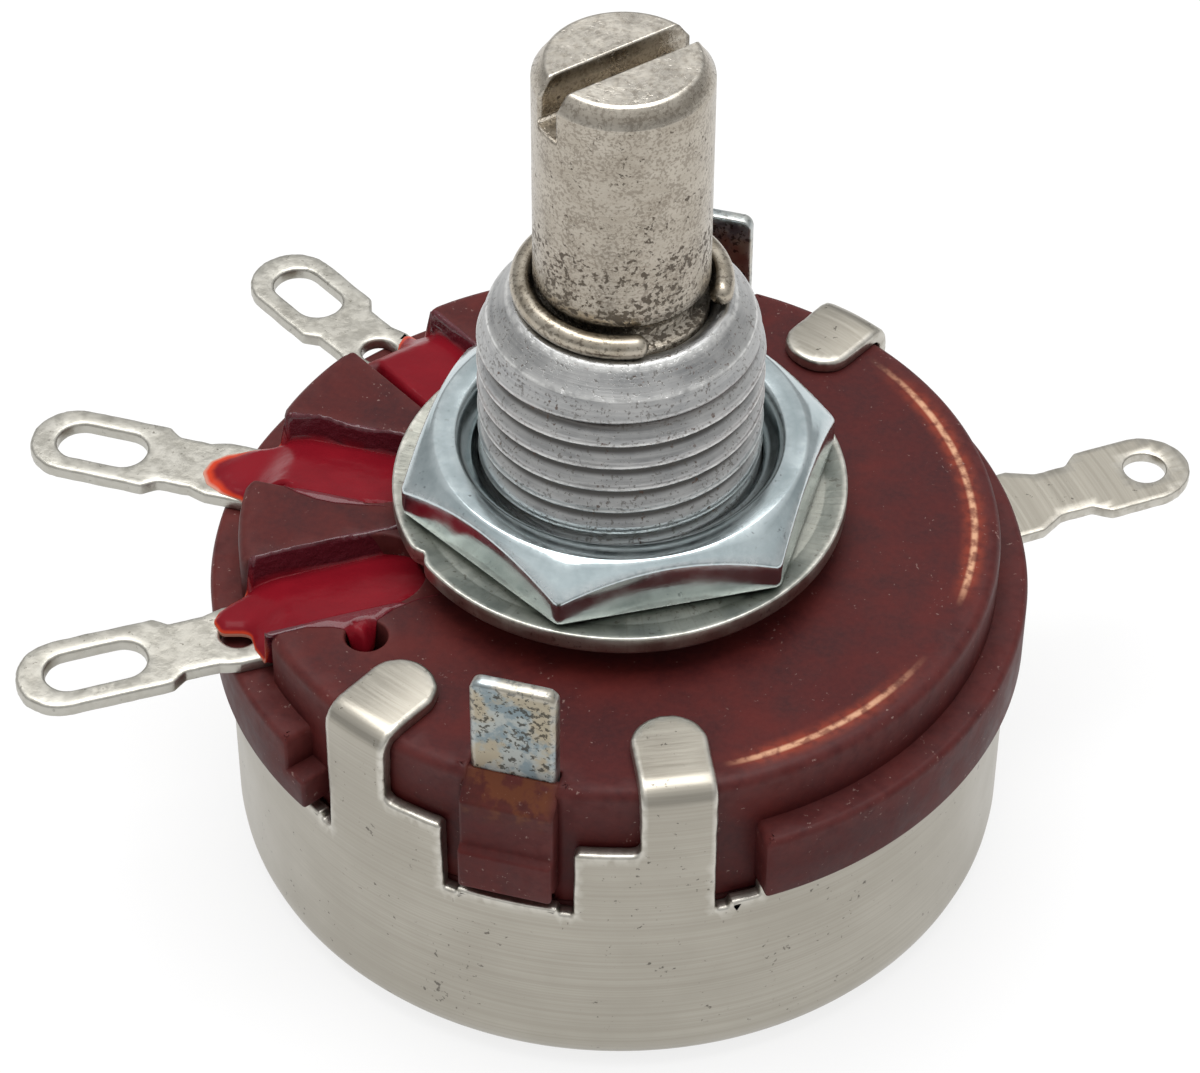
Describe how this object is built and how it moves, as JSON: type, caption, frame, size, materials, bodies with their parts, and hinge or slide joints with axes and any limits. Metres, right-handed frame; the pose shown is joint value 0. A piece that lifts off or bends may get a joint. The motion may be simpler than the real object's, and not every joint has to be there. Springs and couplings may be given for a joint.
{
  "type": "rotary potentiometer",
  "caption": "Panel potentiometer with maroon moulded body, drawn steel can, solder terminals, threaded bushing, nut and slotted shaft that turns.",
  "frame": {"origin": "centre of the can's flat bottom face", "axes": "+Z along the shaft to its tip, middle terminal along -X, locating tabs on the Y axis"},
  "size_m": [0.0405, 0.0289, 0.0335],
  "materials": {
    "can_steel": "satin nickel plate, fine brushing",
    "insulating_paper": "matte",
    "phenolic": "dark maroon moulding, scuffed, satin",
    "zinc_plate": "zinc plated sheet, satin",
    "bright_zinc": "bright bluish zinc plate",
    "cast_zinc": "cast and threaded, satin",
    "tinned_sheet": "tinned, satin",
    "rivet_brass": "satin",
    "carbon_film": "matte",
    "red_lacquer": "glossy",
    "shaft_steel": "nickel plated, pitted",
    "laminate": "matte laminate",
    "spring_bronze": "satin",
    "carbon_block": "matte"
  },
  "bodies": {
    "body": {"can": "can_steel", "insulator_disc": "insulating_paper", "bakelite_body": "phenolic", "locating_strip": "zinc_plate", "bushing": "cast_zinc", "washer": "zinc_plate", "hex_nut": "bright_zinc", "terminal_1": "tinned_sheet", "terminal_2": "tinned_sheet", "terminal_3": "tinned_sheet", "rivet_1": "rivet_brass", "rivet_2": "rivet_brass", "rivet_3": "rivet_brass", "resistance_track": "carbon_film", "collector_ring": "rivet_brass", "lacquer_1": "red_lacquer", "lacquer_2": "red_lacquer", "lacquer_3": "red_lacquer"},
    "rotor": {"shaft": "shaft_steel", "retaining_clip": "shaft_steel", "thrust_washer": "laminate", "rotor_disc": "laminate", "wiper_spring": "spring_bronze", "outer_brush": "carbon_block", "inner_brush": "carbon_block"}
  },
  "joints": [
    {"name": "shaft_turn", "type": "hinge", "parent": "body", "child": "rotor", "pos_m": [0, 0, 0], "axis": [0, 0, 1], "range_deg": [-140, 140]}
  ]
}
